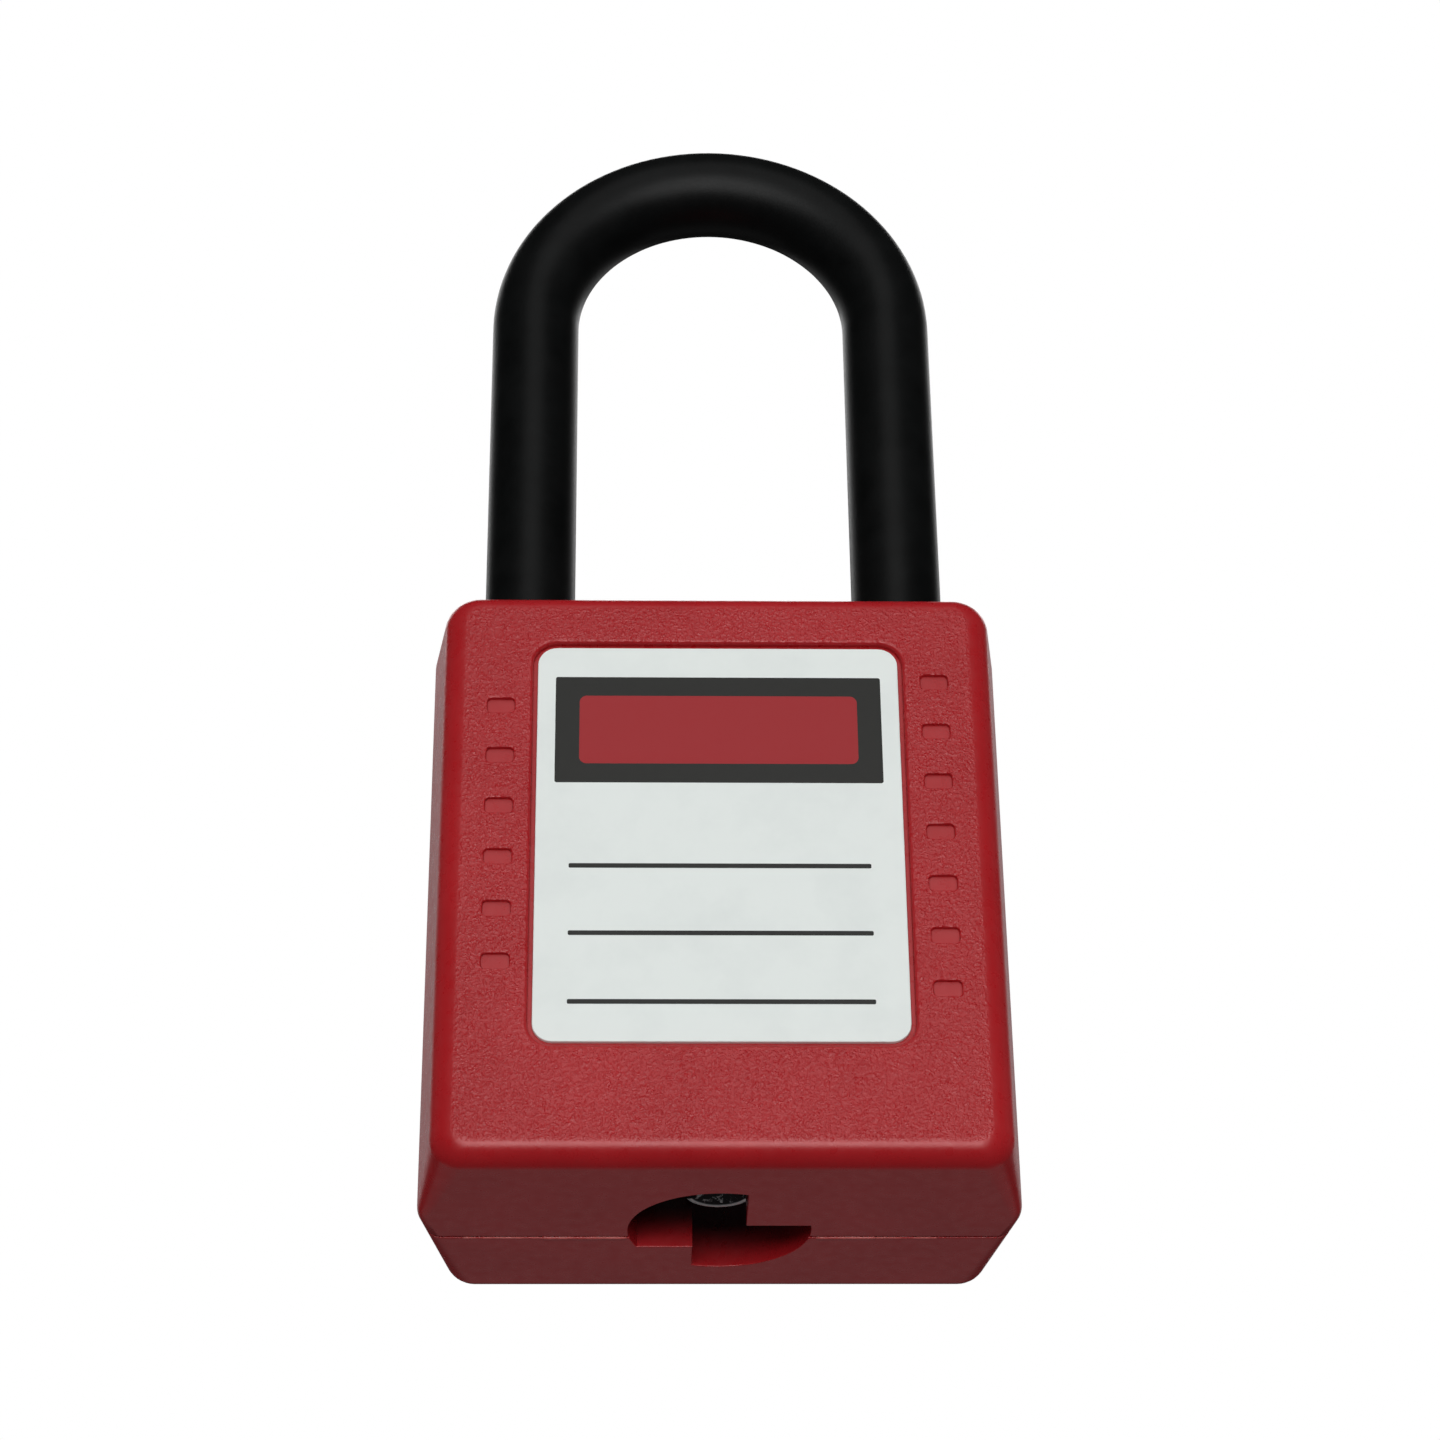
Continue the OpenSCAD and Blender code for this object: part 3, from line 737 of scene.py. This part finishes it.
print("front shell")
frontShell = makeBodyForm("frontShellMoulding")
bisectAll(frontShell, (0, partY, 0), (0, 1, 0), use_fill=True, clear_outer=True)
roundEdges(frontShell, lambda e: inPlane(e, 1, partY), body["frontSeamRound"], 2)
cutBody(frontShell)
combine(frontShell, makeLabelPocket("front_label", -1, frontY))
addBars(frontShell)
pegEndY = partY + body["pegLength"]
for x, z in pegPlaces():
    peg = addRod("peg", body["pegDiameter"] / 2, (x, partY - body["pegRoot"], z),
                 (x, pegEndY, z), 24)
    roundEdges(peg, lambda e: inPlane(e, 1, pegEndY), body["pegRound"], 2)
    combine(frontShell, peg, "UNION")
finishShell(frontShell)
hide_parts("front_shell")
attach(frontShell, "case")

print("rear cover")
rearCover = makeBodyForm("rearCoverMoulding")
bisectAll(rearCover, (0, partY, 0), (0, 1, 0), use_fill=True, clear_inner=True)
roundEdges(rearCover, lambda e: inPlane(e, 1, partY), body["rearSeamRound"], 2)
cutBody(rearCover)
combine(rearCover, makeLabelPocket("rear_label", 1, backY))
for x, z in pegPlaces():
    combine(rearCover, addRod("socket", body["pegDiameter"] / 2 + body["pegGap"],
                              (x, partY - body["pegRoot"], z),
                              (x, pegEndY + body["pegGap"], z), 24))
finishShell(rearCover)
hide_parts("rear_cover")
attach(rearCover, "case")


label = {"corner": 1.3 * mm, "edge": 0.07 * mm}


def makeLabel(name, node, side, lines, header):
    low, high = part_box(node)
    film = addBlock(name, low, high)
    roundEdges(film, lambda e: alongAxis(e, 1), label["corner"], 8)
    outerY = high.y if side > 0 else low.y
    roundEdges(film, lambda e: inPlane(e, 1, outerY), label["edge"], 2)
    smooth(film)
    film.data.materials.append(makeLabelFilm(name + "Print", node, lines, header))
    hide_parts(node)
    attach(film, "case")


print("labels")
makeLabel("frontLabelFilm", "front_label", -1, 3, True)
makeLabel("rearLabelFilm", "rear_label", 1, 4, False)


shackle = {
    "chamfer": 0.8 * mm,
    "toeNotchDepth": 1.9 * mm,
    "neckDepth": 1.1 * mm,
    "footHeight": 4.0 * mm,
    "lift": 12.0 * mm,
    "neckSpare": 0.5 * mm,
    "boltGap": 0.2 * mm,
    "plainFrom": 1.2 * mm,      # above the bolts the bar is plain
    "sides": 56,
    "bowSteps": 64,
    "edge": 0.12 * mm,
    "sharpFrom": 40,            # degrees
}


# One bar from the toe end over the bow to the heel end, then the notches and the neck
def makeShackle():
    bpy.ops.mesh.primitive_circle_add(
        vertices=shackle["sides"], radius=barRadius - shackle["chamfer"],
        fill_type="NOTHING", location=(legX, legY, toeEndZ))
    bar = settle("shackleBow")
    selectWhere(bar, "EDGE", lambda e: True)
    grow = barRadius / (barRadius - shackle["chamfer"])
    bpy.ops.mesh.extrude_region_move(
        TRANSFORM_OT_translate={"value": (0, 0, shackle["chamfer"])})
    bpy.ops.transform.resize(value=(grow, grow, 1))
    restZ = boltTopZ + shackle["plainFrom"]
    for start, end in ((toeEndZ + shackle["chamfer"], restZ), (restZ, bowZ)):
        bpy.ops.mesh.extrude_region_move(
            TRANSFORM_OT_translate={"value": (0, 0, end - start)})
    bpy.ops.mesh.spin(steps=shackle["bowSteps"], angle=math.pi, center=(0, legY, bowZ),
                      axis=(0, 1, 0))
    for start, end in ((bowZ, restZ), (restZ, heelEndZ)):
        bpy.ops.mesh.extrude_region_move(
            TRANSFORM_OT_translate={"value": (0, 0, end - start)})
    bpy.ops.mesh.select_all(action="SELECT")
    bpy.ops.mesh.remove_doubles(threshold=0.001 * mm)
    for endZ in (toeEndZ, heelEndZ):
        selectWhere(bar, "EDGE", lambda e: inPlane(e, 2, endZ))
        bpy.ops.mesh.edge_face_add()
    bpy.ops.mesh.select_all(action="SELECT")
    bpy.ops.mesh.normals_make_consistent(inside=False)
    bpy.ops.object.mode_set(mode="OBJECT")

    gap = shackle["boltGap"]
    low, high = boltTopZ - bolt["height"] - gap, boltTopZ + gap
    neckRadius = barRadius - shackle["neckDepth"]
    notchX = legX - barRadius + shackle["toeNotchDepth"]
    combine(bar, addBlock("toeNotch", (0, -far, low), (notchX, far, high)))
    combine(bar, addBlock("heelNotch", (-legX + neckRadius, -far, low), (0, far, high)))
    neckLow = heelEndZ + shackle["footHeight"]
    neckHigh = boltTopZ - shackle["lift"] + shackle["neckSpare"]
    ring = addRod("ring", barRadius + past, (-legX, legY, neckLow), (-legX, legY, neckHigh))
    combine(ring, addRod("core", neckRadius, (-legX, legY, 0), (-legX, legY, far)))
    combine(bar, ring)
    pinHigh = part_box("heel_stop_pin")[1]
    combine(bar, addBlock("pinRun", (-legX - barRadius - past, -far, neckLow),
                          (-legX - neckRadius, far, pinHigh.z + gap)))
    cleanMesh(bar)
    roundEdges(bar, lambda e: len(e.link_faces) == 2
               and e.calc_face_angle(0) > math.radians(shackle["sharpFrom"]),
               shackle["edge"], 2)
    cleanMesh(bar)
    smooth(bar)
    bar.data.materials.append(blackMaterial)
    return bar


print("shackle")
shackleBar = makeShackle()
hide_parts("shackle")
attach(shackleBar, "shackle")


# Inner works keep their CAD shape and take a finish
print("inner works")
slotOf = {part["node"]: part["material_slot"] for part in frame["record"]["subparts"]}
for name, node in frame["nodes"].items():
    material = slotMaterials.get(slotOf[name])
    if material:
        node.data.materials.clear()
        node.data.materials.append(material)


coils = {
    "wireSides": 12,
    "turnSteps": 32,
    "shackleTurns": 7,
    "shackleWire": 0.45 * mm,   # radius
    "driverTurns": 3,
    "driverWire": 0.14 * mm,    # radius
    "driverCount": 5,
    "pinTravel": 1.0 * mm,
}


# Coil that stands on z = 0, or with a turn along -Y from the given place
def makeCoil(name, length, width, wire, turns, where, turn=(0, 0, 0)):
    bpy.ops.mesh.primitive_circle_add(
        vertices=coils["wireSides"], radius=wire, fill_type="NOTHING",
        location=(width / 2 - wire, 0, wire), rotation=(math.pi / 2, 0, 0))
    coil = settle(name)
    wind = coil.modifiers.new("wind", "SCREW")
    wind.axis, wind.angle, wind.iterations = "Z", 2 * math.pi, turns
    wind.screw_offset = (length - 2 * wire) / turns
    wind.steps = wind.render_steps = coils["turnSteps"]
    bpy.ops.object.modifier_apply(modifier=wind.name)
    selectWhere(coil, "FACE", lambda face: True)
    bpy.ops.mesh.remove_doubles(threshold=0.001 * mm)
    bpy.ops.mesh.fill_holes(sides=0)
    bpy.ops.mesh.select_all(action="SELECT")
    bpy.ops.mesh.normals_make_consistent(inside=False)
    bpy.ops.object.mode_set(mode="OBJECT")
    coil.location, coil.rotation_euler = where, turn
    pickOnly(coil)
    coil = settle(name)
    smooth(coil, 60)
    coil.data.materials.append(slotMaterials["spring_steel"])
    return coil


# Coil in place of the CAD spring under the heel leg, which in the lock stretches as the
# shackle rises; the coil is built at the CAD spring's length and attached to no body
def makeShackleCoil():
    low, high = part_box("shackle_spring")
    coil = makeCoil("shackleCoil", high.z - low.z, high.x - low.x, coils["shackleWire"],
                    coils["shackleTurns"], (-legX, legY, low.z))
    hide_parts("shackle_spring")
    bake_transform(coil)


# Coils in place of the CAD springs behind the driver pins, which in the lock shorten as the
# pins slide out; the coils are built at the CAD springs' length and fixed to the case
def makeDriverCoils():
    low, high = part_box("driver_spring_1")
    length, middleZ = high.y - low.y, (low.z + high.z) / 2
    driverCoils = [makeCoil("driverCoil1", length, high.x - low.x, coils["driverWire"],
                            coils["driverTurns"], (0, high.y, middleZ), (math.pi / 2, 0, 0))]
    for number in range(2, coils["driverCount"] + 1):
        pickOnly(driverCoils[0])
        bpy.ops.object.duplicate()
        bpy.context.active_object.location.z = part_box(f"driver_spring_{number}")[0].z - low.z
        driverCoils.append(settle(f"driverCoil{number}"))
    for number, coil in enumerate(driverCoils, 1):
        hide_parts(f"driver_spring_{number}")
        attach(coil, "case")
        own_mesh(coil)


print("springs")
makeShackleCoil()
makeDriverCoils()


plug = {
    "noseDiameter": 4.5 * mm,
    "rimWidth": 0.25 * mm,
    "rimRound": 0.09 * mm,
    "dishDepth": 0.8 * mm,
    # painted highlight on the rim and painted glints in this colour; past the dish it is the
    # plain metal
    "highlightAndMetal": (0.85, 0.85, 0.83, 1),
    # painted shade colour for the dish
    "dishShade": (0.035, 0.033, 0.034, 1),
    "blotchSize": 0.45 * mm,
    "blotchFrom": 0.56,
    "blotchTo": 0.66,
    "blotchDepth": 0.02 * mm,
    "rimHighlightBelow": 0.03 * mm,   # above the nose's end
    "dishShadeAbove": 0.08 * mm,
    "dishShadeFade": 0.3 * mm,      # past the dish
    "metallic": 0.3,
    "roughLow": 0.22,
    "roughHigh": 0.42,
    "flatAngle": 0.5,           # degrees
    "rimReach": 0.05 * mm,
}


# Painted shade darkens the dish, broken by bright blotches that are painted glints, and the
# rim is left bright as a painted highlight
def makePlugMetal():
    material, shader = newMaterial("zincWithPaintedShade", Metallic=plug["metallic"])
    at = place(material)
    blotch = spread(material, noise(material, plug["blotchSize"], 4, 0.7, at=at), 0, 1,
                    plug["blotchFrom"], plug["blotchTo"])
    height = addNode(material, "ShaderNodeSeparateXYZ", {"Vector": at}).outputs["Z"]
    noseZ = plugLow.z
    fromRim = spread(material, height, 0, 1, noseZ + plug["rimHighlightBelow"],
                     noseZ + plug["dishShadeAbove"])
    pastDish = spread(material, height, 1, 0, noseZ + plug["dishDepth"],
                      noseZ + plug["dishDepth"] + plug["dishShadeFade"])
    # painted shade in the dish, with painted glints where the blotches are and a painted
    # highlight on the rim
    dishShadeShare = maths(material, "MULTIPLY", maths(material, "MULTIPLY", fromRim, pastDish),
                    maths(material, "SUBTRACT", 1.0, blotch))
    feed(material, blendColours(material, dishShadeShare, plug["highlightAndMetal"], plug["dishShade"]), shader,
         "Base Color")
    feed(material, spread(material, blotch, plug["roughHigh"], plug["roughLow"], 0, 1),
         shader, "Roughness")
    addBump(material, blotch, shader, plug["blotchDepth"])
    return material


# Copy of the CAD plug with the rim of its nose turned round
def makePlug():
    source = frame["nodes"]["plug"]
    pickOnly(source)
    bpy.ops.object.duplicate()
    turned = bpy.context.active_object
    turned.name = turned.data.name = "plugTurned"
    del turned["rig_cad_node"]
    cleanMesh(turned)
    selectWhere(turned, "FACE", lambda face: True)
    bpy.ops.mesh.dissolve_limited(angle_limit=math.radians(plug["flatAngle"]))
    bpy.ops.object.mode_set(mode="OBJECT")
    centre = Vector((0, axisY))
    inner = plug["noseDiameter"] / 2 - plug["rimWidth"]
    for radius in (inner, plug["noseDiameter"] / 2):
        roundEdges(turned, lambda e: inPlane(e, 2, plugLow.z) and all(
            abs((v.co.xy - centre).length - radius) < plug["rimReach"] for v in e.verts),
            plug["rimRound"], 3)
    smooth(turned)
    turned.data.materials.clear()
    turned.data.materials.append(makePlugMetal())
    return turned


print("plug")
plugTurned = makePlug()
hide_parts("plug")
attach(plugTurned, "plug")


flash = {
    "radius": 0.13 * mm,
    "sides": 12,
    "above": 0.06 * mm,         # end face to the bead's middle
    "behind": 0.06 * mm,        # parting plane to the bead's middle
    "uneven": 0.03 * mm,
    "cutPitch": 0.45 * mm,
    "streak": 1.6 * mm,
    "specular": 0.5,
    "roughLow": 0.22,
    "roughHigh": 0.40,
    "colour": (0.40, 0.018, 0.022, 1),
    # the paler pink is a painted highlight on the bead
    "paler": (0.62, 0.17, 0.15, 1),
}
# Start, end and share of the full size
flashRuns = ((-16.6 * mm, -11.2 * mm, 0.75), (-11.5 * mm, -5.9 * mm, 1.0),
             (6.2 * mm, 10.2 * mm, 0.95), (10.0 * mm, 14.2 * mm, 0.75))


# Beads of weld flash in the seam of the end face, with paler streaks of painted highlight
def makeFlash():
    bits = []
    for seed, (start, end, share) in enumerate(flashRuns):
        y, z = partY + flash["behind"], flash["above"]
        bit = addRod("bit", flash["radius"] * share, (start, y, z), (end, y, z),
                     flash["sides"])
        selectWhere(bit, "EDGE", lambda e: alongAxis(e, 0))
        bpy.ops.mesh.subdivide(number_cuts=round((end - start) / flash["cutPitch"]))
        bpy.ops.mesh.select_all(action="SELECT")
        bpy.ops.transform.vertex_random(offset=flash["uneven"] * share, seed=seed)
        bpy.ops.mesh.normals_make_consistent(inside=False)
        bpy.ops.object.mode_set(mode="OBJECT")
        rounding = bit.modifiers.new("rounding", "SUBSURF")
        rounding.levels = rounding.render_levels = 1
        bpy.ops.object.modifier_apply(modifier=rounding.name)
        bits.append(bit)
    pickOnly(bits[0])
    for bit in bits:
        bit.select_set(True)
    bpy.ops.object.join()
    whole = settle("weldFlash")
    smooth(whole, 60)
    material, shader = newMaterial("weldFlashRed", IOR=1.49,
                                   Specular_IOR_Level=flash["specular"])
    # paler streaks along the bead are painted highlight
    amount = spread(material, noise(material, flash["streak"], 3), 0, 1)
    feed(material, blendColours(material, amount, flash["colour"], flash["paler"]), shader,
         "Base Color")
    feed(material, spread(material, amount, flash["roughLow"], flash["roughHigh"], 0, 1),
         shader, "Roughness")
    whole.data.materials.append(material)
    return whole


print("weld flash")
weldFlash = makeFlash()
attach(weldFlash, "case")


view = {
    "eye": (-0.00594, -0.21936, -0.09366),
    "turn": 1.655,              # degrees
    "rise": 30.97,
    "roll": -0.65,
    "lens": 92.03,
    "sensor": 36,
    "near": 0.01,
    "far": 20,
}


def makeCamera():
    turn, rise, roll = (math.radians(view[k]) for k in ("turn", "rise", "roll"))
    ahead = Vector((math.sin(turn) * math.cos(rise), math.cos(turn) * math.cos(rise),
                    math.sin(rise)))
    right = Vector((math.cos(turn), -math.sin(turn), 0))
    up = right.cross(ahead)
    right, up = (right * math.cos(roll) + up * math.sin(roll),
                 up * math.cos(roll) - right * math.sin(roll))
    bpy.ops.object.camera_add(location=view["eye"])
    camera = bpy.context.active_object
    camera.name = "camera"
    camera.rotation_euler = Matrix((right, up, -ahead)).transposed().to_euler()
    camera.data.lens, camera.data.sensor_width = view["lens"], view["sensor"]
    camera.data.clip_start, camera.data.clip_end = view["near"], view["far"]
    bpy.context.scene.camera = camera


lights = {
    # name: (place, width, height, brightness, lights surfaces, shows in gloss)
    "frontSoftbox": ((0.0, -0.62, 0.62), 1.3, 0.80, 1.15, True, False),
    "frontGloss": ((0.0, -0.66, 0.58), 0.5, 0.75, 0.95, False, True),
    "facing": ((0.0, -0.88, -0.02), 0.7, 0.60, 5.0, False, True),
    "fill": ((0.0, -0.875, -0.155), 0.8, 0.15, 10.5, True, False),
    "backSoftbox": ((0.0, 0.80, 0.50), 1.2, 0.80, 2.4, True, False),
    "leftSide": ((-0.90, 0.25, 0.35), 0.8, 0.7, 0.9, True, False),
    "rightSide": ((0.90, 0.25, 0.35), 0.8, 0.7, 0.9, True, False),
    "topBehind": ((0.0, 0.72, 0.78), 1.2, 0.35, 2.0, False, True),
    "underBehind": ((0.0, 0.70, -0.42), 1.4, 0.5, 0.19, False, True),
    "leftPanel": ((-0.5, 0.85, 0.55), 0.6, 0.8, 0.40, False, True),
    "rightPanel": ((0.5, 0.85, 0.55), 0.6, 0.8, 0.45, False, True),
}


lightAim = 0.7              # share of the body's height


def makeLights():
    aim = Vector((0, 0, topZ * lightAim))
    for name, (where, width, height, brightness, lit, glossy) in lights.items():
        bpy.ops.object.light_add(type="AREA", location=where)
        lamp = bpy.context.active_object
        lamp.name = name
        lamp.rotation_euler = (aim - lamp.location).to_track_quat("-Z", "Y").to_euler()
        lamp.data.shape, lamp.data.size, lamp.data.size_y = "RECTANGLE", width, height
        lamp.data.energy = brightness * math.pi * width * height
        lamp.visible_diffuse, lamp.visible_glossy = lit, glossy


room = {
    "tint": (0.95, 0.96, 1.0, 1),
    "onSurfaces": 0.20,
    "inGloss": 0.03,
    "toCamera": 1.0,
}


# White where the camera sees it, dim light on surfaces, and nearly dark in reflections
def makeWorld():
    world = bpy.data.worlds.new("paleRoom")
    bpy.context.scene.world = world
    world.use_nodes = True
    nodes, links = world.node_tree.nodes, world.node_tree.links
    path = nodes.new("ShaderNodeLightPath")
    shown = nodes["Background"].outputs["Background"]
    nodes["Background"].inputs["Color"].default_value = room["tint"]
    nodes["Background"].inputs["Strength"].default_value = room["onSurfaces"]
    for ray, strength in (("Is Glossy Ray", room["inGloss"]),
                          ("Is Camera Ray", room["toCamera"])):
        other = nodes.new("ShaderNodeBackground")
        other.inputs["Color"].default_value = (1, 1, 1, 1)
        other.inputs["Strength"].default_value = strength
        mix = nodes.new("ShaderNodeMixShader")
        links.new(path.outputs[ray], mix.inputs["Fac"])
        links.new(shown, mix.inputs[1])
        links.new(other.outputs["Background"], mix.inputs[2])
        shown = mix.outputs["Shader"]
    links.new(shown, nodes["World Output"].inputs["Surface"])


paleFloor = {
    "radius": 1.2,
    "below": 0.1 * mm,
    "colour": (0.24, 0.24, 0.24, 1),
    "glow": 0.75,
    "roughness": 0.9,
    "specular": 0.1,
}


# Pale floor that the lock stands on. From below it is clear, so the lock's bottom shows.
def makeFloor():
    bpy.ops.mesh.primitive_circle_add(vertices=96, radius=paleFloor["radius"],
                                      fill_type="NGON", location=(0, 0, -paleFloor["below"]))
    floor = settle("floor")
    material, shader = newMaterial("paleFloor", Roughness=paleFloor["roughness"],
                                   Specular_IOR_Level=paleFloor["specular"])
    shader.inputs["Base Color"].default_value = paleFloor["colour"]
    shader.inputs["Emission Color"].default_value = (1, 1, 1, 1)
    shader.inputs["Emission Strength"].default_value = paleFloor["glow"]
    clear = addNode(material, "ShaderNodeBsdfTransparent")
    behind = addNode(material, "ShaderNodeNewGeometry").outputs["Backfacing"]
    mix = addNode(material, "ShaderNodeMixShader",
                  {0: behind, 1: shader.outputs["BSDF"], 2: clear.outputs["BSDF"]})
    output = material.node_tree.nodes["Material Output"]
    material.node_tree.links.new(mix.outputs["Shader"], output.inputs["Surface"])
    floor.data.materials.append(material)
    floor.visible_diffuse = floor.visible_glossy = False
    floor.visible_shadow = floor.visible_transmission = False


print("camera, light and floor")
makeCamera()
makeLights()
makeWorld()
makeFloor()
bpy.context.scene.view_settings.view_transform = "Standard"

bpy.ops.object.select_all(action="DESELECT")
